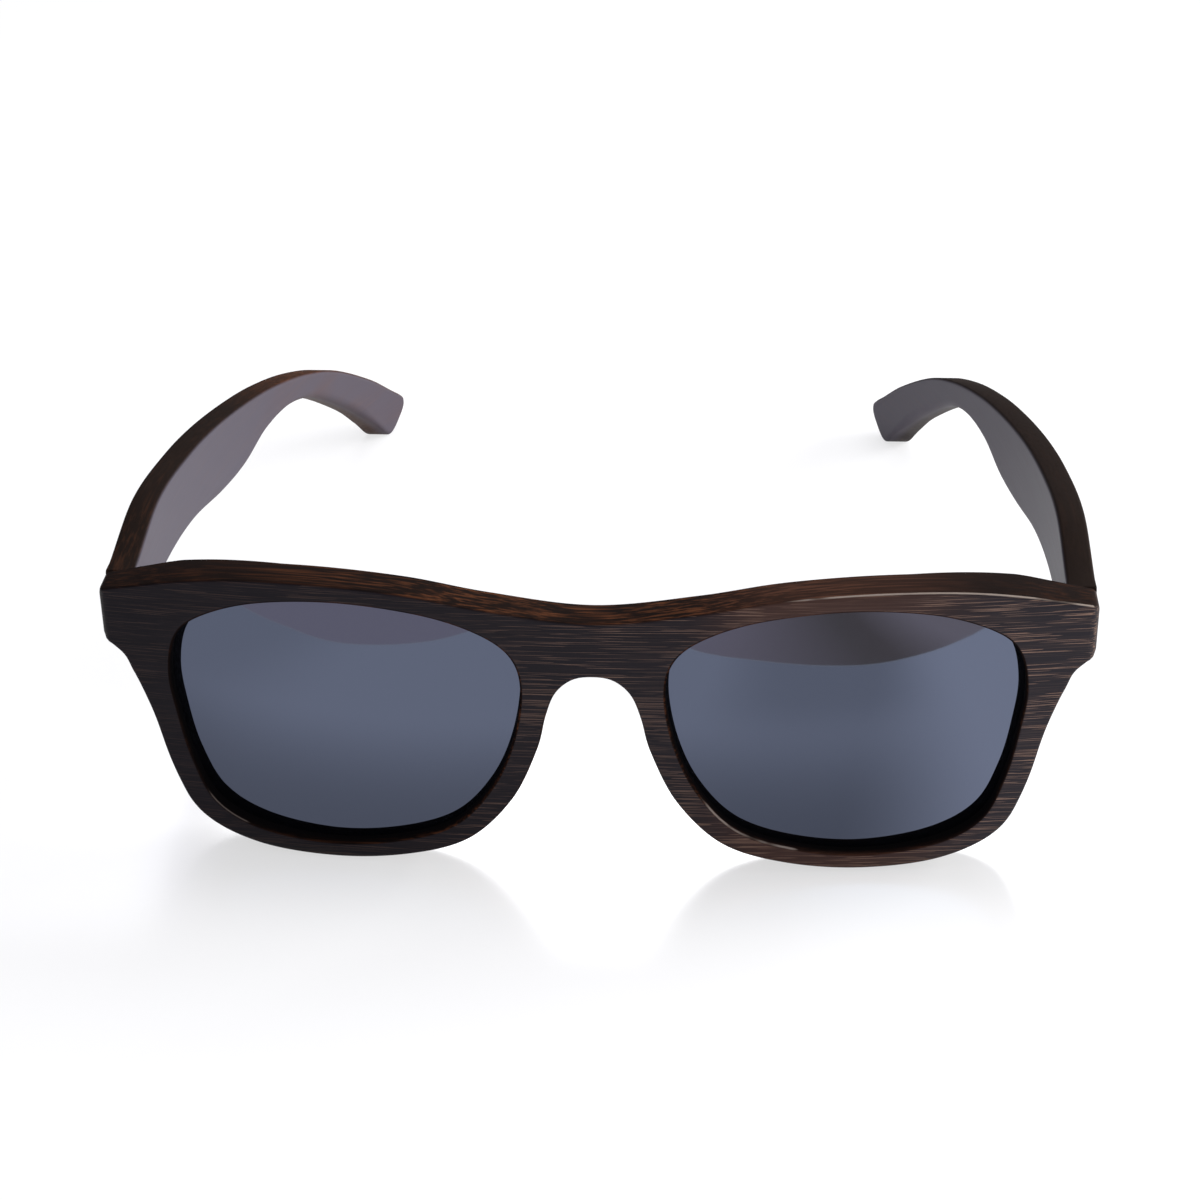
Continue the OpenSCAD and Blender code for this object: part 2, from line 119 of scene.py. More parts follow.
def eased_corner(before, corner, after, reach):
    """The curve that rounds a corner, as far along each side as reach."""
    before, corner, after = (np.array(v, float) for v in (before, corner, after))
    a = corner + reach * (before - corner) / np.linalg.norm(before - corner)
    b = corner + reach * (after - corner) / np.linalg.norm(after - corner)
    t = np.linspace(0, 1, 9)[:, None]
    return (1 - t) ** 2 * a + 2 * t * (1 - t) * corner + t ** 2 * b


def spaced(loop, gap):
    """The same loop with its points an even gap apart."""
    closed = np.vstack([loop, loop[:1]])
    run = np.concatenate([[0], np.cumsum(np.linalg.norm(np.diff(closed, axis=0), axis=1))])
    count = round(run[-1] / gap)
    at = np.arange(count) * run[-1] / count
    return np.stack([np.interp(at, run, closed[:, k]) for k in (0, 1)], -1)


def left_of(loop):
    """The direction to the left of a closed loop, at each of its points."""
    run = np.roll(loop, -1, 0) - np.roll(loop, 1, 0)
    return np.stack([-run[:, 1], run[:, 0]], -1) / np.linalg.norm(run, axis=1)[:, None]


def inside(points, loops):
    hit = np.zeros(len(points), bool)
    for loop in loops:
        for a, b in zip(loop, np.roll(loop, -1, 0)):
            if a[1] == b[1]:
                continue
            level = (a[1] > points[:, 1]) != (b[1] > points[:, 1])
            cross = a[0] + (points[:, 1] - a[1]) * (b[0] - a[0]) / (b[1] - a[1])
            hit ^= level & (points[:, 0] < cross)
    return hit


def put(name, data):
    obj = bpy.data.objects.new(name, data)
    bpy.context.scene.collection.objects.link(obj)
    return obj


def face_out(mesh):
    shaped = bmesh.new()
    shaped.from_mesh(mesh)
    bmesh.ops.recalc_face_normals(shaped, faces=shaped.faces)
    shaped.to_mesh(mesh)
    shaped.free()


def settle(obj):
    """Keeps what an object's modifiers make as its own plain mesh."""
    made = bpy.data.meshes.new_from_object(obj.evaluated_get(bpy.context.evaluated_depsgraph_get()))
    obj.modifiers.clear()
    obj.data = made
    made.name = obj.name


def smooth(mesh, crease=None):
    mesh.polygons.foreach_set("use_smooth", np.ones(len(mesh.polygons), bool))
    if crease:
        mesh.set_sharp_from_angle(angle=math.radians(crease))


def coat(mesh, finish):
    mesh.materials.clear()
    mesh.materials.append(finish)


def points_of(mesh):
    spots = np.zeros(len(mesh.vertices) * 3)
    mesh.vertices.foreach_get("co", spots)
    return spots.reshape(-1, 3)


def note(mesh, label, values, kind="FLOAT", field="value"):
    """Writes one value on each point of a mesh."""
    mesh.attributes.new(label, kind, "POINT").data.foreach_set(field, values.astype(np.float32).ravel())


def carve(name, loops, near, far):
    """A board between two faces, sawn along loops, outer edge first.

    Each loop gives its points, the rounding of its near and far edge, how sawn its wall looks and the
    strength of its light edge line, partly abrasion and partly a painted highlight. Each face keeps a
    narrow margin inside its rounded edge, and is filled with a loose grid.
    """
    margin, grid = 0.3, 2.5
    arc = np.radians([0, 22.5, 45, 67.5, 90])
    places, edge_side, rubbed, faces, caps = [], [], [], [], ([], [])
    count = 0

    def rounded(soft, from_far):
        return [(soft * (1 - np.sin(a)), soft * (1 - np.cos(a)), from_far, math.sin(a), math.sin(2 * a))
            for a in arc]

    for k, (p, near_soft, far_soft, sawn, wear_highlight) in enumerate(loops):
        area = np.sum(p[:, 0] * np.roll(p[:, 1], -1) - np.roll(p[:, 0], -1) * p[:, 1])
        if (area > 0) != (k == 0):
            p, near_soft, far_soft, sawn, wear_highlight = (v[::-1] for v in (p, near_soft, far_soft, sawn, wear_highlight))
        inward = left_of(p)
        rows = [(near_soft + margin, near_soft * 0, 0, 0, 0), *rounded(near_soft, 0),
            *rounded(far_soft, 1)[::-1], (far_soft + margin, far_soft * 0, 1, 0, 0)]
        n = len(p)
        for row, (inset, depth, from_far, side, rub_highlight) in enumerate(rows):
            flat = p + inward * inset[:, None]
            a, b = near(flat), far(flat)
            if from_far:
                a, b = b, a
            places.append(a + (b - a) * (depth / np.linalg.norm(b - a, axis=1))[:, None])
            edge_side.append(side * sawn)
            rubbed.append(rub_highlight * wear_highlight * (1 - from_far))
            if row == 0 or row == len(rows) - 1:
                caps[from_far].append((flat, count + row * n))
            if row:
                i = np.arange(n)
                j = (i + 1) % n
                low, high = count + (row - 1) * n, count + row * n
                faces += np.stack([low + i, low + j, high + j, high + i], -1).tolist()
        count += n * len(rows)
    for cap, surface in zip(caps, (near, far)):
        rims = [flat for flat, _ in cap]
        index = np.concatenate([start + np.arange(len(flat)) for flat, start in cap])
        edges, first = [], 0
        for flat in rims:
            i = first + np.arange(len(flat))
            edges += np.stack([i, np.roll(i, -1)], -1).tolist()
            first += len(flat)
        rim = np.vstack(rims)
        low, high = rim.min(0), rim.max(0)
        axes = [np.arange(low[k] + grid / 2, high[k], grid) for k in (0, 1)]
        fill = np.stack(np.meshgrid(*axes), -1).reshape(-1, 2)
        fill = fill[inside(fill, rims)]
        clear = np.array([np.min(np.sum((rim - m) ** 2, 1)) for m in fill]) > (0.5 * grid) ** 2
        fill = fill[clear]
        index = np.concatenate([index, count + np.arange(len(fill))])
        places.append(surface(fill))
        edge_side.append(np.zeros(len(fill)))
        rubbed.append(np.zeros(len(fill)))
        count += len(fill)
        corners = [Vector(v) for v in np.vstack([rim, fill])]
        spots, _, parts, source, _, _ = delaunay_2d_cdt(corners, edges, [], 0, 1e-7)
        spots = np.array([tuple(v) for v in spots])
        parts = np.array(parts)
        keep = inside(spots[parts].mean(1), rims)
        faces += index[np.array([s[0] for s in source])][parts[keep]].tolist()
    board = bpy.data.meshes.new(name)
    board.from_pydata(stand(np.vstack(places)).tolist(), [], faces)
    note(board, "edge_side", np.concatenate(edge_side))
    note(board, "rubbed", np.concatenate(rubbed))
    face_out(board)
    return put(name, board)


def let_in(obj, recesses):
    """Cuts square recesses, given as two bench corners each, out of a board."""
    corners = np.array([[i, j, k] for i in (0, 1) for j in (0, 1) for k in (0, 1)])
    quads = [(0, 1, 3, 2), (4, 6, 7, 5), (0, 4, 5, 1), (2, 3, 7, 6), (0, 2, 6, 4), (1, 5, 7, 3)]
    for a, b in recesses:
        low, high = np.minimum(a, b), np.maximum(a, b)
        block = bpy.data.meshes.new("recess_cutter")
        block.from_pydata(stand(low + corners * (high - low)).tolist(), [], quads)
        face_out(block)
        cutter = put("recess_cutter", block)
        cut = obj.modifiers.new("recess", "BOOLEAN")
        cut.operation, cut.solver, cut.object = "DIFFERENCE", "EXACT", cutter
        settle(obj)
        bpy.data.objects.remove(cutter)


def finish_board(obj, grain, finish):
    """Lays the grain in millimetres along, through and across a board, and gives it its finish."""
    board = obj.data
    note(board, "grain", grain(lay_back(points_of(board))), "FLOAT_VECTOR", "vector")
    coat(board, finish)
    smooth(board, crease=40)


class Thread:
    """One value on its way through a finish; sums of threads add their Math nodes."""

    def __init__(self, tree, socket):
        self.tree, self.socket = tree, socket

    def node(self, kind, settings=None, sockets=None, out=0):
        made = self.tree.nodes.new(kind)
        for key, value in (settings or {}).items():
            if key == "stops":
                while len(made.color_ramp.elements) < len(value):
                    made.color_ramp.elements.new(0.5)
                for stop, (at, colour) in zip(made.color_ramp.elements, value):
                    stop.position, stop.color = at, colour
            else:
                setattr(made, key, value)
        for key, value in (sockets or {}).items():
            if isinstance(value, Thread):
                self.tree.links.new(value.socket, made.inputs[key])
            else:
                made.inputs[key].default_value = value
        return Thread(self.tree, None if out is None else made.outputs[out])

    def maths(self, operation, a, b=0.0):
        return self.node("ShaderNodeMath", {"operation": operation}, {0: a, 1: b})

    def __add__(self, other):
        return self.maths("ADD", self, other)

    def __radd__(self, other):
        return self.maths("ADD", other, self)

    def __sub__(self, other):
        return self.maths("SUBTRACT", self, other)

    def __rsub__(self, other):
        return self.maths("SUBTRACT", other, self)

    def __mul__(self, other):
        return self.maths("MULTIPLY", self, other)

    def __rmul__(self, other):
        return self.maths("MULTIPLY", other, self)

    def __truediv__(self, other):
        return self.maths("DIVIDE", self, other)

    def step(self, low, high):
        smoothed = {"interpolation_type": "SMOOTHSTEP"}
        return self.node("ShaderNodeMapRange", smoothed, {0: self, 1: low, 2: high})

    def blend(self, a, b):
        return self.node("ShaderNodeMix", {"data_type": "RGBA"}, {0: self, 6: a, 7: b}, out=2)

    def noise(self, x, y, z, detail=2.0, rough=0.5):
        spot = self.node("ShaderNodeCombineXYZ", None, {0: x, 1: y, 2: z})
        return self.node("ShaderNodeTexNoise", None,
            {"Vector": spot, "Scale": 1.0, "Detail": detail, "Roughness": rough})

    def split(self):
        apart = self.node("ShaderNodeSeparateXYZ", None, {0: self}).socket.node
        return [Thread(self.tree, socket) for socket in apart.outputs]

    def place(self):
        return self.node("ShaderNodeTexCoord", out="Object").split()

    def noted(self, label, out):
        return self.node("ShaderNodeAttribute", {"attribute_name": label}, out=out)


def new_finish(name, **fixed):
    finish = bpy.data.materials.new(name)
    finish.use_nodes = True
    shader = finish.node_tree.nodes["Principled BSDF"]
    for key, value in fixed.items():
        shader.inputs[key.replace("_", " ")].default_value = value
    return finish, shader, Thread(finish.node_tree, None)


def feed(shader, **threads):
    for key, thread in threads.items():
        shader.id_data.links.new(thread.socket, shader.inputs[key.replace("_", " ")])


def bamboo(name, dark, brown, pale, show, blush, blush_at, flush, inner_sheen, saw_dark, saw_warm, worn_highlight, lacquer):
    """Stained bamboo: fibre lines along the grain, pale dashes, warmer sawn edges, and corners with a light
    line that is partly abrasion and partly a painted highlight. Routed walls get painted shade.

    The stain fades from dark to brown along the grain, and a warm blush comes and goes between the four
    places of blush_at. The inward face of a board may get a lighter tone of its own, a painted sheen.
    """
    finish, shader, start = new_finish(name, IOR=1.5, Specular_IOR_Level=0.06, Coat_Roughness=0.3)
    along, deep, across = start.noted("grain", "Vector").split()
    cut, rub_highlight = start.noted("edge_side", "Fac"), start.noted("rubbed", "Fac")
    side, routed = cut.step(0.1, 0.95), cut.step(1.1, 1.9)
    wander = start.noise(along / 45, deep / 9, across / 20)
    level, depth = across + wander * 1.2, deep + wander * 0.8

    def figure(length, thickness, width, detail=1.0, rough=0.5):
        return start.noise(along / length, depth / thickness, level / width, detail, rough)

    dash = figure(length=9, thickness=0.5, width=0.14, detail=0.6)
    line = figure(length=16, thickness=0.4, width=0.14)
    patch = figure(length=24, thickness=7, width=5)
    band = figure(length=50, thickness=2.0, width=2.2, detail=2.0)
    streak = figure(length=18, thickness=0.5, width=0.5, detail=2.5, rough=0.6).step(0.42, 0.72)
    scuff = figure(length=9, thickness=4, width=4, detail=2.0, rough=0.6).step(0.3, 0.5)
    fade = along.step(-56, 78)
    warm = along.step(*blush_at[:2]) * (1 - along.step(*blush_at[2:]))
    strong = dash.step(0.605, 0.635) * patch.step(0.2, 0.5) * (fade * 0.88 + 0.12)
    fibre = (strong + line.step(0.45, 0.75) * (fade * 0.16 + 0.04)) * show
    ground = (fade * 0.75 + band.step(0.3, 0.7) * 0.25).blend(dark, brown)
    face = fibre.blend((warm * flush).blend(ground, blush), pale)
    if inner_sheen:
        inner_sheen_face = (fibre * 0.3).blend(inner_sheen, pale)
        inner_sheen_face = (warm * (patch.step(0.3, 0.7) * 0.22 + 0.05)).blend(inner_sheen_face, blush)
        face = deep.step(1.6, 3.6).blend(face, inner_sheen_face)
    middle = 1 - (along * along).step(250, 3200)
    sawn = (streak * (middle * 0.75 + patch.step(0.35, 0.65) * 0.25)).blend(saw_dark, saw_warm)
    sawn = (warm * (streak * 0.5 + 0.3)).blend(sawn, blush)
    # Painted shade: the routed walls of the lens openings go near black, less so near the face.
    painted_wall_shade = (0.003, 0.0022, 0.0022, 1)
    wall_shade_mask = routed * (deep.step(0.3, 1.2) * 0.4 + 0.6)
    wood = wall_shade_mask.blend(side.blend(face, sawn), painted_wall_shade)
    # The light line on rounded edges is partly abrasion and partly a painted highlight.
    wear_highlight = rub_highlight.step(0.45, 0.95) * scuff
    relief = dash * 0.6 + line * 0.4
    bump = start.node("ShaderNodeBump", None, {"Strength": 0.15, "Distance": 0.00006, "Height": relief})
    feed(shader, Base_Color=(wear_highlight * 0.9).blend(wood, worn_highlight), Normal=bump,
        Roughness=side * 0.4 + 0.4 + line * 0.1 + fibre * 0.1,
        Coat_Weight=(1 - side) * (fade * 0.5 + 0.5) * lacquer)
    return finish


eye_shape = [
    [1, 0.67], [0.986, 0.506], [0.956, 0.317], [0.897, 0.14], [0.769, 0.04], [0.559, 0], [0.354, 0.032],
    [0.199, 0.111], [0.0915, 0.27], [0.0275, 0.46], [0, 0.67], [0.026, 0.81], [0.118, 0.902],
    [0.278, 0.968], [0.514, 1], [0.741, 0.978], [0.901, 0.909], [0.975, 0.821],
]
eye_points = np.array(eye_shape) * [lens_width, lens_height] + [eye_in, rim_bottom]
brow = [eye_in + 0.09 * lens_width, bridge_top + 0.36 * bridge_dip]
top_edge = through([
    [-brow[0], brow[1]], [0, bridge_top], brow,
    [eye_in + 0.33 * lens_width, front_top - 0.2 * bridge_dip], [eye_in + 0.61 * lens_width, front_top],
    [eye_in + 0.89 * lens_width, front_top - 0.16 * end_drop], [front_half, end_top],
    [front_half + end_width, end_top - end_drop],
])
away = left_of(eye_points)
rim_points = eye_points + away * (rim_bottom + (rim_side - rim_bottom) * np.abs(away[:, :1]))
fillet, arch = 1.2, 0.286 * bridge_width
low_edge = through([
    [front_half, end_low + fillet], [front_half - 0.3 * fillet, end_low + 0.3 * fillet],
    [front_half - 1.3 * fillet, end_low - 0.4 * fillet],
    [eye_out + 1.6 * rim_side, end_low - 0.32 * end_height],
    [eye_out + 1.25 * rim_side, end_low - 0.81 * end_height],
    *rim_points[1:10],
    [1.15 * arch, bridge_low - 0.77 * bridge_height], [0.91 * arch, bridge_low - 0.33 * bridge_height],
    [0.5 * arch, bridge_low - 0.065 * bridge_height], [0, bridge_low],
    [-0.5 * arch, bridge_low - 0.065 * bridge_height],
])
corner_points, corner_reach, point_gap = 9, 1.0, 0.6
end_side = [front_half, end_low + fillet]
corner = eased_corner(top_edge[-corner_points], top_edge[-1], end_side, corner_reach)
half = np.vstack([top_edge[:-corner_points], corner, [end_side], low_edge])
front_loop = spaced(np.vstack([half, (half * [-1, 1])[-2:0:-1]]), point_gap)
aperture = spaced(round_trip(eye_points), point_gap)


def front_face(flat):
    return np.stack([flat[:, 0], face_y(flat[:, 0]), flat[:, 1]], -1)


def front_back(flat):
    """Hollow behind the lenses, then sloping out to a thick block at each end."""
    x = np.abs(flat[:, 0])
    slope_in, block_in = eye_in + 0.67 * lens_width, eye_out - 0.2 * end_width
    hollow = wrap_radius - np.sqrt((wrap_radius - rim_thickness) ** 2 - x * x)
    slope_low = wrap_radius - math.sqrt((wrap_radius - rim_thickness) ** 2 - slope_in ** 2)
    slope = slope_low + (x - slope_in) * (end_back - slope_low) / (block_in - slope_in)
    back = np.where(x < slope_in, hollow, np.minimum(end_back, np.maximum(hollow, slope)))
    return np.stack([flat[:, 0], back, flat[:, 1]], -1)


# The underside of each end piece is sanded until it flows into the rim.
sand_reach, sand_soft = 12, 5
sand_from, sand_low, sand_high = (58, 62), (9, 14), (34, 31)
span = np.arange(-sand_reach, sand_reach + 1)
weight = np.exp(-0.5 * (span / sand_soft) ** 2)
flowing = sum(w * np.roll(front_loop, k, 0) for k, w in zip(span, weight / weight.sum()))
from_middle, above_bench = np.abs(front_loop[:, :1]), front_loop[:, 1:]
under_end = ramp(from_middle, *sand_from) * ramp(above_bench, *sand_low) * ramp(above_bench, *sand_high)
front_loop += under_end * (flowing - front_loop)

# The corners of the ends are rounded most. The top edge and the lower lips get a light line in places,
# partly abrasion and partly a painted highlight.
edge_round, end_round, lip_round, lip_back_round, routed_wall = 0.35, 0.95, 0.45, 0.4, 2
top_rubbed_highlight, top_height, lip_height, lip_fade = (24, 32), 40, 17, 2
at_end = ramp(np.abs(front_loop[:, 0]), front_half - 0.7, front_half - 0.1)
on_top = (front_loop[:, 1] > top_height) & (front_loop[:, 0] < front_half - 0.6)
top_wear_highlight = 0.12 + 0.88 * ramp(front_loop[:, 0], *top_rubbed_highlight) * on_top
plain_front, plain = np.ones(len(front_loop)), np.ones(len(aperture))


def lip_wear_highlight(loop, low, high, most):
    """The lower lip of an opening gets a light line between two places along the front, partly painted
    highlight.
    """
    x, z = loop.T
    rubbed = ramp(x, low, low + lip_fade) * ramp(x, high, high - lip_fade)
    return 0.1 + most * rubbed * (z < lip_height)


left_eye, right_eye = aperture, aperture * [-1, 1]
lip = (plain * lip_round, plain * lip_back_round, plain * routed_wall)
front = carve("front_wood", [
    (front_loop, edge_round + end_round * at_end, plain_front * edge_round, 1 - 0.5 * at_end, top_wear_highlight),
    (left_eye, *lip, lip_wear_highlight(left_eye, 15, 32, 0.85)),
    (right_eye, *lip, lip_wear_highlight(right_eye, -61, -52, 0.6)),
], front_face, front_back)

# A hinge plate is let into the back of each end piece, with a cutter that starts past the wood.
plate_width, plate_half, plate_thickness, inlet_room, cut_past = 5.9, 3.1, 1, 0.04, 1
plate_out = pivot[0] + knuckle_radius
plate_in = plate_out - plate_width
plate_low = np.array([plate_in, end_back - plate_thickness, end_mid - plate_half]) - inlet_room
plate_high = np.array([plate_out + inlet_room, end_back + cut_past, end_mid + plate_half + inlet_room])
mirrored = np.array([-1, 1, 1])
let_in(front, [(plate_low, plate_high), (plate_low * mirrored, plate_high * mirrored)])
front_finish = bamboo(
    "stained_bamboo_front", dark=(0.0048, 0.0034, 0.0048, 1), brown=(0.0125, 0.0090, 0.0118, 1),
    pale=(0.36, 0.215, 0.145, 1), show=0.58,
    blush=(0.062, 0.027, 0.017, 1), blush_at=(12, 28, 40, 60), flush=0.8, inner_sheen=None,
    saw_dark=(0.006, 0.0026, 0.0016, 1), saw_warm=(0.085, 0.029, 0.011, 1),
    worn_highlight=(0.34, 0.28, 0.23, 1), lacquer=0.35)
finish_board(front, lambda b: np.stack([b[:, 0], b[:, 1] - face_y(b[:, 0]), b[:, 2]], -1), front_finish)
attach(front, "front")
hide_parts("front_frame")

# Lenses: grey tinted plastic, moulded to a shallow dome and edged to the opening. The rim of each lens
# reaches a little into the wood round the opening, where a groove would hold it; no groove is cut here.
# A thin flash coating gives the blue-grey reflection.
# Left and right are the wearer's, so left is +X.
both_sides = (("left", 1), ("right", -1))
lens_radius, lens_recess, lens_thickness, lens_bite, lens_round = 160.0, 0.5, 1.2, 0.75, 0.12
lens_mid = np.array([eye_in + lens_width / 2, rim_bottom + lens_height / 2])
lens_turn = math.asin(lens_mid[0] / wrap_radius)
lens_reach = wrap_radius - lens_recess - lens_radius
lens_centre = np.array(
    [lens_reach * math.sin(lens_turn), wrap_radius - lens_reach * math.cos(lens_turn), lens_mid[1]])
lens_edge = aperture + lens_bite * left_of(aperture)


def dome(centre, radius):
    def surface(flat):
        bulge = radius ** 2 - (flat[:, 0] - centre[0]) ** 2 - (flat[:, 1] - centre[2]) ** 2
        return np.stack([flat[:, 0], centre[1] - np.sqrt(bulge), flat[:, 1]], -1)

    return surface


tint, tint_shader, tint_start = new_finish("tinted_lens", IOR=2.4, Specular_Tint=(0.658, 0.78, 1.0, 1))
lens_x, lens_y, lens_z = tint_start.place()
cloud = tint_start.noise(lens_x * 60, lens_y * 60, lens_z * 60, 1.0, 0.4)
# Painted shade: the lens's own colour is darker towards the bottom.
painted_shade_ramp = (lens_z * 1000).step(4.0, 46.0)
tint_and_painted_shade = painted_shade_ramp.blend((0.002, 0.0022, 0.003, 1), (0.006, 0.0065, 0.008, 1))
feed(tint_shader, Base_Color=tint_and_painted_shade, Roughness=cloud * 0.02 + 0.02)
for side, flip in both_sides:
    centre = lens_centre * [flip, 1, 1]
    thin = np.full(len(lens_edge), lens_round)
    lens = carve(f"lens_blank_{side}", [(lens_edge * [flip, 1], thin, thin, thin, thin)],
        dome(centre, lens_radius), dome(centre, lens_radius - lens_thickness))
    coat(lens.data, tint)
    smooth(lens.data)
    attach(lens, "front")
    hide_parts(f"lens_{side}")


# Hinge metal: pressed and milled steel, brushed along its length. The plate and its two knuckles are let
# into the back of each end piece, and the spring housing into the butt end of each temple, with the
# slider's eye between the knuckles on a slotted pivot screw.
def steel(name, base, low, high, streaks):
    finish, shader, start = new_finish(name, Metallic=1.0)
    x, y, z = start.place()
    scratch = start.noise(x * streaks[0], y * streaks[1], z * streaks[2], 3.0, 0.6)
    mottle = start.noise(x * 900, y * 900, z * 900, 2.0, 0.5)
    dull, bright = (tuple(share * c for c in base) + (1,) for share in (0.72, 1.12))
    colour = (mottle * 0.6 + scratch * 0.4).step(0.25, 0.75).blend(dull, bright)
    bump = start.node("ShaderNodeBump", None, {"Strength": 0.25, "Distance": 0.00002, "Height": scratch})
    feed(shader, Base_Color=colour, Roughness=low + scratch * (high - low), Normal=bump)
    return finish


hinge_steel = steel("brushed_hinge_steel", (0.44, 0.43, 0.42), 0.25, 0.5, (6000, 350, 6000))
pin_steel = steel("turned_screw_steel", (0.38, 0.37, 0.36), 0.22, 0.42, (900, 900, 9000))
for side, _ in both_sides:
    for node in ("front_hinge", "slider", "temple_hinge", "spring_stop"):
        coat(frame["nodes"][f"{node}_{side}"].data, hinge_steel)
    coat(frame["nodes"][f"pivot_screw_{side}"].data, pin_steel)

# Wood screws: small turned countersunk steel screws with a cross cut in the head. Two hold each hinge
# plate to the front and two hold each spring housing to its temple.
screw_head, screw_depth, screw_shank, screw_slot, screw_length = 1.0, 0.5, 0.55, 0.28, 3.2
screw_spacing, screw_edge, plate_edge = 3.1, 0.2, 0.35


def new_tree(name, sizes):
    """A tree of nodes with named sizes and a finish going in, and the way to add a node to it."""
    tree = bpy.data.node_groups.new(name, "GeometryNodeTree")
    tree.interface.new_socket("Geometry", in_out="INPUT", socket_type="NodeSocketGeometry")
    for label in sizes:
        tree.interface.new_socket(label, in_out="INPUT", socket_type="NodeSocketFloat")
    tree.interface.new_socket("Finish", in_out="INPUT", socket_type="NodeSocketMaterial")
    tree.interface.new_socket("Geometry", in_out="OUTPUT", socket_type="NodeSocketGeometry")

    def add(kind, sockets, **settings):
        made = tree.nodes.new(kind)
        for key, value in settings.items():
            setattr(made, key, value)
        for key, value in sockets.items():
            for source in value if isinstance(value, list) else [value]:
                if isinstance(source, bpy.types.NodeSocket):
                    tree.links.new(source, made.inputs[key])
                else:
                    made.inputs[key].default_value = source
        return made.outputs[0] if made.outputs else None

    return tree, tree.nodes.new("NodeGroupInput").outputs, add


def end_tree(add, shape, finish):
    real = add("GeometryNodeRealizeInstances", {"Geometry": shape})
    add("NodeGroupOutput", {0: add("GeometryNodeSetMaterial", {"Geometry": real, "Material": finish})})


def screw_tree():
    """One screw, head and shank, on each point, with its head turned the way that the point is facing."""
    tree, size, add = new_tree("wood_screws",
        ("Head radius", "Head depth", "Shank radius", "Length", "Slot width"))
    cone = add("GeometryNodeMeshCone", {"Vertices": 28, "Radius Top": size["Head radius"],
        "Radius Bottom": size["Shank radius"], "Depth": size["Head depth"]})
    sink = add("ShaderNodeMath", {0: size["Head depth"], 1: -1.0}, operation="MULTIPLY")
    head = add("GeometryNodeTransform",
        {"Geometry": cone, "Translation": add("ShaderNodeCombineXYZ", {2: sink})})
    slot = add("ShaderNodeCombineXYZ",
        {0: size["Head radius"], 1: size["Slot width"], 2: size["Head depth"]})
    across_head = (1.5, 1, 1)
    reach = add("ShaderNodeVectorMath", {0: slot, 1: across_head}, operation="MULTIPLY")
    blade = add("GeometryNodeMeshCube", {"Size": reach})
    cross = add("GeometryNodeTransform", {"Geometry": blade, "Rotation": (0, 0, math.pi / 2)})
    slotted = add("GeometryNodeMeshBoolean", {"Mesh 1": head, "Mesh 2": [blade, cross]},
        operation="DIFFERENCE", solver="EXACT")
    shaft = add("GeometryNodeMeshCylinder",
        {"Vertices": 20, "Radius": size["Shank radius"], "Depth": size["Length"]})
    half_down = add("ShaderNodeMath", {0: size["Length"], 1: -0.5}, operation="MULTIPLY")
    drop = add("ShaderNodeMath", {0: half_down, 1: size["Head depth"]}, operation="SUBTRACT")
    shank = add("GeometryNodeTransform",
        {"Geometry": shaft, "Translation": add("ShaderNodeCombineXYZ", {2: drop})})
    whole = add("GeometryNodeJoinGeometry", {0: [slotted, shank]})
    facing = add("GeometryNodeInputNamedAttribute", {"Name": "facing"}, data_type="FLOAT_VECTOR")
    turn = add("FunctionNodeAlignRotationToVector", {"Vector": facing}, axis="Z")
    placed = add("GeometryNodeInstanceOnPoints",
        {"Points": size["Geometry"], "Instance": whole, "Rotation": turn})
    end_tree(add, placed, size["Finish"])
    return tree


def from_nodes(name, mesh, tree, values):
    """Runs a tree on a mesh and keeps the result as a plain mesh."""
    obj = put(name, mesh)
    run = obj.modifiers.new("nodes", "NODES")
    run.node_group = tree
    for item in tree.interface.items_tree:
        if item.in_out == "INPUT" and item.name in values:
            run[item.identifier] = values[item.name]
    settle(obj)
    return obj


screws = screw_tree()
eye_to_housing, housing_wall, seat_gap, housing_half, rod_depth = 0.7, 1.2, 0.05, 1.5, 2.1
rod_x = inner_x + rod_depth
housing_start = pivot[1] + knuckle_radius + eye_to_housing
flange_ear = housing_half + inlet_room + screw_shank + screw_edge
flange_half = flange_ear + screw_head + screw_edge
plate_screw_x = plate_in + screw_head + plate_edge
front_screws = [(plate_screw_x, end_back, end_mid + k * screw_spacing) for k in (-0.5, 0.5)]
temple_screws = [(rod_x, housing_start, end_mid + k * flange_ear) for k in (-1, 1)]
screw_jobs = {
    "front_hinge_screws": ("front", (0, 1, 0), front_screws),
    "temple_hinge_screws": ("temple", (0, -1, 0), temple_screws),
}
for side, flip in both_sides:
    for node, (carrier, faces_to, spots) in screw_jobs.items():
        points = bpy.data.meshes.new("screw_points")
        points.from_pydata(stand(np.array(spots) * [flip, 1, 1]).tolist(), [], [])
        way = lean @ (np.array(faces_to) * [flip, 1, 1])
        note(points, "facing", np.tile(way, len(spots)), "FLOAT_VECTOR", "vector")
        screw = from_nodes(f"wood_screws_{carrier}_{side}", points, screws, {
            "Head radius": screw_head / 1000, "Head depth": screw_depth / 1000,
            "Shank radius": screw_shank / 1000, "Length": (screw_length - screw_depth) / 1000,
            "Slot width": screw_slot / 1000, "Finish": pin_steel})
        smooth(screw.data, crease=35)
        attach(screw, "front" if carrier == "front" else f"temple_{side}")
        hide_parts(f"{node}_{side}")

# Coil springs: drawn spring-steel wire wound round the slider's rod inside each housing. The front end
# rests on the housing and the far end on the stop, so that a temple pushed too far out springs back.
spring_turns, spring_radius, spring_wire, spring_length = 10, 0.92, 0.3, 9.0


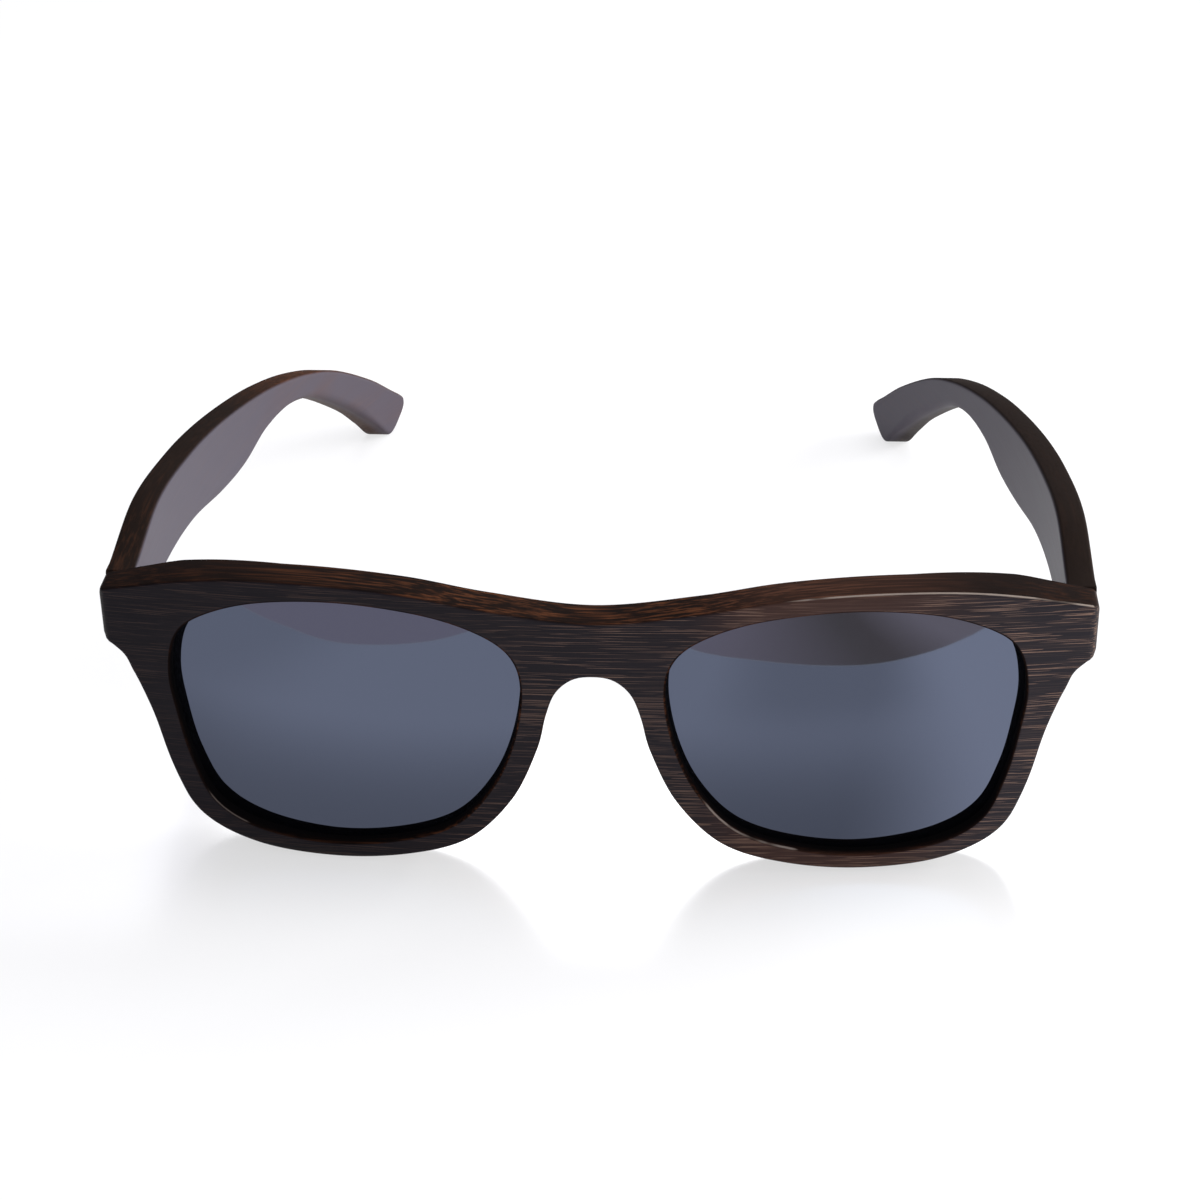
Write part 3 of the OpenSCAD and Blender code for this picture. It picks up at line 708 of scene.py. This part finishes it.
def spring_tree():
    tree, size, add = new_tree("coil_spring", ("Turns", "Radius", "Wire", "Length"))
    coil = add("GeometryNodeCurveSpiral", {"Resolution": 24, "Rotations": size["Turns"],
        "Start Radius": size["Radius"], "End Radius": size["Radius"], "Height": size["Length"]})
    ring = add("GeometryNodeCurvePrimitiveCircle", {"Resolution": 10, "Radius": size["Wire"]})
    wire = add("GeometryNodeCurveToMesh", {"Curve": coil, "Profile Curve": ring, "Fill Caps": True})
    end_tree(add, wire, size["Finish"])
    return tree


coils = spring_tree()
wire_steel = steel("spring_wire_steel", (0.36, 0.35, 0.34), 0.25, 0.45, (4000, 4000, 4000))
spring_start = housing_start + housing_wall + seat_gap + spring_wire / 2
for side, flip in both_sides:
    spring = from_nodes(f"coil_spring_{side}", bpy.data.meshes.new("coil"), coils, {
        "Turns": float(spring_turns), "Radius": spring_radius, "Wire": spring_wire / 2,
        "Length": spring_length - spring_wire, "Finish": wire_steel})
    # The coil is wound upright in millimetres, then laid along the rod.
    x, y, z = points_of(spring.data).T
    laid = np.stack([rod_x + x, spring_start + z, end_mid - y], -1) * [flip, 1, 1]
    spring.data.vertices.foreach_set("co", stand(laid).ravel())
    if flip < 0:
        spring.data.flip_normals()
    smooth(spring.data)
    both_ends = [[flip * rod_x, spring_start + k, end_mid] for k in (0, spring_length)]
    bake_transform(spring)
    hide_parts(f"spring_{side}")

# Temples: two side arms sawn from the same bamboo and steamed to a bow that follows the head, with a
# belly, a waist over the ear and a drop behind it. The butt end is cut out for the spring housing.
joint_gap, temple_length, hook_drop = 0.2, 123.5, 29.5
temple_straight, temple_bow, temples_apart = 13.5, 268.0, 300
temple_start = end_back + joint_gap
temple_top = [
    [-0.15, 0.4, 0], [0, 0.5, 0], [0.152, 0.75, 0], [0.303, 0.61, 0], [0.41, 0.45, 0],
    [0.527, 0.21, 0], [0.623, -0.03, 0], [0.724, 0, 0.121], [0.818, 0, 0.275], [0.915, 0, 0.522],
    [0.986, 0, 0.755], [1.07, 0, 1],
]
temple_end = [
    [0.915, 0, 0.522], [0.986, 0, 0.755], [1, 0, 0.834], [0.989, 0, 0.92], [0.957, 0, 1],
    [0.922, 0, 0.856],
]
temple_low = [
    [1, 0, 1.05], [0.957, 0, 1], [0.922, 0, 0.856], [0.853, 0, 0.611], [0.756, 0, 0.346],
    [0.673, -0.732, 0], [0.593, -0.722, 0], [0.511, -0.926, 0], [0.42, -0.886, 0], [0.295, -0.62, 0],
    [0.155, -0.5, 0], [0, -0.5, 0], [-0.15, -0.5, 0],
]


def temple_line(shares):
    """A line through shares of the temple's length, its height and the drop of its hook."""
    s = np.array(shares, float)
    height = end_mid + s[:, 1] * temple_height - s[:, 2] * hook_drop
    return through(np.stack([temple_start + s[:, 0] * temple_length, height], -1))


# The points nearest to the butt give way to its two rounded corners.
butt_reach = 0.35
upper, tip, lower = temple_line(temple_top), temple_line(temple_end), temple_line(temple_low)
butt_top = eased_corner(lower[-1], upper[0], upper[6], butt_reach)
butt_low = eased_corner(lower[-7], lower[-1], upper[0], butt_reach)
temple_loop = spaced(np.vstack([butt_top, upper[3:-1], tip[:-1], lower[:-3], butt_low]), point_gap)
bow_start = temple_start + temple_straight


def bowed(flip, under):
    """A face of a temple, so far under its outer one."""
    def surface(flat):
        out = np.maximum(flat[:, 0] - bow_start, 0)
        x = front_half - temple_bow + np.sqrt((temple_bow - under) ** 2 - out ** 2)
        return np.stack([flip * x, flat[:, 0], flat[:, 1]], -1)

    return surface


def temple_grain(b):
    """The grain follows the bow, and the two temples come from places well apart in the board."""
    out = np.maximum(b[:, 1] - bow_start, 0)
    reach = np.hypot(np.abs(b[:, 0]) - front_half + temple_bow, out)
    run = np.minimum(b[:, 1], bow_start) + temple_bow * np.arcsin(np.clip(out / temple_bow, 0, 1))
    return np.stack([run + temples_apart * (b[:, 0] > 0), temple_bow - reach, b[:, 2]], -1)


# The temples' inward faces get a lighter lavender tone: a painted sheen.
temple_finish = bamboo(
    "stained_bamboo_temple", dark=(0.010, 0.007, 0.007, 1), brown=(0.021, 0.0135, 0.013, 1),
    pale=(0.14, 0.094, 0.08, 1), show=0.45,
    blush=(0.085, 0.030, 0.012, 1), blush_at=(70, 105, 180, 220), flush=0.3,
    inner_sheen=(0.061, 0.053, 0.069, 1),
    saw_dark=(0.009, 0.005, 0.0034, 1), saw_warm=(0.03, 0.0125, 0.0065, 1),
    worn_highlight=(0.30, 0.22, 0.17, 1), lacquer=0.12)

# Behind the ear the lower edge is sanded rounder and keeps more of the face's stain.
butt_round, arm_round, ear_round = 0.12, 0.48, 0.7
mid_shares, mid_drops = np.array([0, 0.6, 0.75, 1.0]), np.array([0, 0, 7, 26])
ear_start, ear_full = temple_start + 80, temple_start + 92
tip_start = temple_start + 0.93 * temple_length
run, height = temple_loop.T
mid_line = np.interp(run, temple_start + temple_length * mid_shares, end_mid - mid_drops)
under_ear = ramp(mid_line - height, 0, 2) * ramp(run, ear_start, ear_full)
off_butt = ramp(run, temple_start + 0.2, temple_start + 2.7)
off_tip = ramp(run, tip_start, tip_start - 6)
temple_soft = butt_round + arm_round * off_butt + ear_round * under_ear * off_tip
temple_sawn = 1 - 0.65 * under_ear
# The temples' edge line, partly abrasion and partly a painted highlight, is fainter than the front's.
temple_wear_highlight = temple_sawn * 0.2

# The butt end is cut out for the knuckles, then for the flange, then for the housing.
stack_half, pivot_head_height, relief, flange_thickness = 2.55, 0.8, 0.3, 0.8
stop_length, rod_stub, chamber_play, housing_cap = 1, 0.2, 0.4, 0.9
stop_start = housing_start + housing_wall + spring_length + 2 * seat_gap
housing_end = stop_start + stop_length + rod_stub + chamber_play + housing_cap
room, flange_room = housing_half + inlet_room, flange_half + inlet_room
before_butt = temple_start - cut_past
recesses = (
    ((inner_x - 1.5 * cut_past, before_butt, end_mid - stack_half - relief),
        (plate_out + relief, housing_start, end_mid + stack_half + pivot_head_height + relief)),
    ((rod_x - room, before_butt, end_mid - flange_room),
        (rod_x + room, housing_start + flange_thickness + inlet_room, end_mid + flange_room)),
    ((rod_x - room, housing_start, end_mid - room),
        (rod_x + room, housing_end + inlet_room, end_mid + room)),
)
for side, flip in both_sides:
    temple_edge = (temple_loop, temple_soft, temple_soft, temple_sawn, temple_wear_highlight)
    temple = carve(f"temple_wood_{side}", [temple_edge], bowed(flip, 0), bowed(flip, temple_thickness))
    let_in(temple, [[np.array(corner) * [flip, 1, 1] for corner in pair] for pair in recesses])
    finish_board(temple, temple_grain, temple_finish)
    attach(temple, f"temple_{side}")
    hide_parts(f"temple_{side}")

# Studio: a white table top under one large soft light, with smaller ones in front and at the camera's
# right. Just before the rims the table is polished and mirrors them. Two glowing cards are painted
# reflections, seen in mirror images only: the table as the lenses mirror it, with painted shade and a
# painted glint, and the dimmer room beyond the table's curved front edge.
scene = bpy.context.scene
scene.view_settings.view_transform = "Standard"
table = bpy.data.meshes.new("table_top")
table_half, square = 5, ((-1, -1), (1, -1), (1, 1), (-1, 1))
table.from_pydata([(i * table_half, j * table_half, 0) for i, j in square], [], [(0, 1, 2, 3)])
table_obj = put("table_top", table)
table_finish, table_shader, table_start = new_finish("white_table",
    Base_Color=(0.95, 0.95, 0.95, 1), Roughness=0.3, Specular_IOR_Level=0.1)
camera_ray, glossy_ray, through_ray = (table_start.node("ShaderNodeLightPath", out=ray)
    for ray in ("Is Camera Ray", "Is Glossy Ray", "Is Transmission Ray"))
table_x, table_y, _ = table_start.place()
afar = (table_x * table_x + table_y * table_y).step(0.02, 0.12)
polish = camera_ray * (1 - table_y.step(-0.05, -0.02)) * table_y.step(-0.093, -0.064)
table_glow = table_start.node("ShaderNodeEmission", None,
    {"Color": polish.blend((1, 1, 1, 1), (1.5, 1.5, 1.5, 1))})
table_lit = (camera_ray + glossy_ray + through_ray) * (afar * 0.3 + 0.7)
table_paint = Thread(table_start.tree, table_shader.outputs[0])
table_white = table_start.node("ShaderNodeMixShader", None, {0: table_lit, 1: table_paint, 2: table_glow})
table_gloss = table_start.node("ShaderNodeBsdfGlossy", None, {"Color": (1, 1, 1, 1), "Roughness": 0.25})
table_mix = table_start.node("ShaderNodeMixShader", None, {0: polish * 0.4, 1: table_white, 2: table_gloss})
feed(table_finish.node_tree.nodes["Material Output"], Surface=table_mix)
coat(table, table_finish)

rim_line, room_end, room_flare = -0.068, -4, 1.5
table_edge = through([
    (-3, -0.97), (-2, -0.75), (-0.3, -0.315), (-0.2, -0.252), (-0.159, -0.231), (-0.127, -0.213),
    (-0.1083, -0.2026), (-0.0819, -0.1892), (-0.0598, -0.1927), (-0.039, -0.2058), (-0.0192, -0.2283),
    (-0.013, -0.234), (-0.008, -0.195), (0.0231, -0.1816), (0.0494, -0.1733), (0.0689, -0.1716),
    (0.0924, -0.1795), (0.1108, -0.1901), (0.1284, -0.2017), (0.2, -0.25), (0.3, -0.31), (2, -0.9),
    (3, -1.2),
]).tolist()


# Cards seen only in mirror images are painted reflections, glowing though they are no lamps.
def mirror_card(name, near, far, height, tone):
    """A card that shows from above in mirror images only, between two lines of the same count of points."""
    count = len(near)
    card = bpy.data.meshes.new(name)
    card.from_pydata([(x, y, height) for x, y in near + far], [],
        [(count + i, count + i + 1, i + 1, i) for i in range(count - 1)])
    card_obj = put(name, card)
    card_obj.visible_camera = card_obj.visible_diffuse = False
    card_obj.visible_shadow = card_obj.visible_transmission = False
    finish = bpy.data.materials.new(name)
    finish.use_nodes = True
    finish.node_tree.nodes.clear()
    start = Thread(finish.node_tree, None)
    x, y, _ = start.place()
    glow = start.node("ShaderNodeEmission", None, {"Color": tone(x, y)})
    below = start.node("ShaderNodeNewGeometry", out="Backfacing")
    clear = start.node("ShaderNodeBsdfTransparent")
    shown = start.node("ShaderNodeMixShader", None, {0: below, 1: glow, 2: clear})
    start.node("ShaderNodeOutputMaterial", None, {"Surface": shown}, out=None)
    coat(card, finish)


def room_reflection_tone(x, y):
    """Painted reflection of the room; it is dimmest a little to the wearer's left."""
    return x.node("ShaderNodeValToRGB", {"stops": [
        (0.48, (0.83, 0.70, 0.80, 1)), (0.51, (0.76, 0.61, 0.66, 1)), (0.565, (0.385, 0.305, 0.285, 1)),
        (0.577, (0.375, 0.29, 0.27, 1)), (0.61, (0.82, 0.66, 0.68, 1))]}, {0: x + 0.5})


def table_reflection_tone(x, y):
    """Painted reflection of the table, with painted shade towards the rims and before the left lens, and a
    painted glint beyond that lens.
    """
    painted_rim_shade = 1 - y.step(-0.118, -0.066) * 0.45
    painted_shadow_spot = 1 - ((x - 0.05) * (x - 0.05)).step(0.0, 0.0022)
    dimmed = 1 - painted_shadow_spot * (0.25 - y.step(-0.14, -0.095) * 0.15)
    shade = painted_rim_shade * dimmed * (x.step(-0.11, -0.06) * 0.16 + 0.84)
    glint = (x + y * 0.3).step(0.015, 0.05)
    light = shade * (1 - glint) + glint * 1.25
    return (light * 0.7).blend((0, 0, 0, 1), (1.357, 1.329, 1.514, 1))


far_room = [(room_flare * x, room_end) for x, y in table_edge]
by_rims = [(x, rim_line) for x, y in table_edge]
mirror_card("painted_room_card", table_edge, far_room, height=0.0006, tone=room_reflection_tone)
mirror_card("painted_table_sheen", by_rims, table_edge, height=0.0004, tone=table_reflection_tone)

for name, place, aim, size, power in (
        ("overhead_softbox", (0.25, 0.45, 1.0), (0, 0, 0), (1.4, 1.0), 11.0),
        ("front_softbox", (0.45, -0.9, 0.8), (0, 0, 0.02), (0.7, 0.7), 2.7),
        ("right_softbox", (0.95, 0.3, 0.35), (0, 0.03, 0.03), (0.6, 0.5), 17.0)):
    lamp = bpy.data.lights.new(name, "AREA")
    lamp.shape, lamp.size, lamp.size_y, lamp.energy = "RECTANGLE", size[0], size[1], power
    lamp_obj = put(name, lamp)
    lamp_obj.location = place
    lamp_obj.rotation_euler = (Vector(aim) - Vector(place)).to_track_quat("-Z", "Y").to_euler()
world = bpy.data.worlds.new("studio")
scene.world = world
world.use_nodes = True
dim = world.node_tree.nodes["Background"]
dim.inputs["Color"].default_value = (0.86, 0.86, 1.08, 1)
dim.inputs["Strength"].default_value = 0.32
air = Thread(world.node_tree, dim.outputs[0])
white = air.node("ShaderNodeBackground", None, {"Color": (1, 1, 1, 1), "Strength": 1.0})
seen = air.node("ShaderNodeLightPath", out="Is Camera Ray")
backdrop = air.node("ShaderNodeMixShader", None, {0: seen, 1: air, 2: white})
feed(world.node_tree.nodes["World Output"], Surface=backdrop)

# Camera: above and in front of the glasses, a little towards the left lens, as in the photograph.
stands_at, focal_pixels, frame_pixels, sensor = (0.024242, -0.382744, 0.264656), 2676.4, 1200, 36
turn, tilt, roll = (math.radians(v) for v in (-4.112, 34.189, -1.304))
ahead = Vector((math.sin(turn) * math.cos(tilt), math.cos(turn) * math.cos(tilt), -math.sin(tilt)))
level = ahead.cross(Vector((0, 0, 1))).normalized()
upright = level.cross(ahead)
right = math.cos(roll) * level + math.sin(roll) * upright
up = math.cos(roll) * upright - math.sin(roll) * level
view = bpy.data.cameras.new("photo_view")
view.lens, view.sensor_width, view.clip_start = focal_pixels * sensor / frame_pixels, sensor, 0.01
camera = put("photo_view", view)
camera.matrix_world = Matrix.Translation(stands_at) @ Matrix((right, up, -ahead)).transposed().to_4x4()
scene.camera = camera
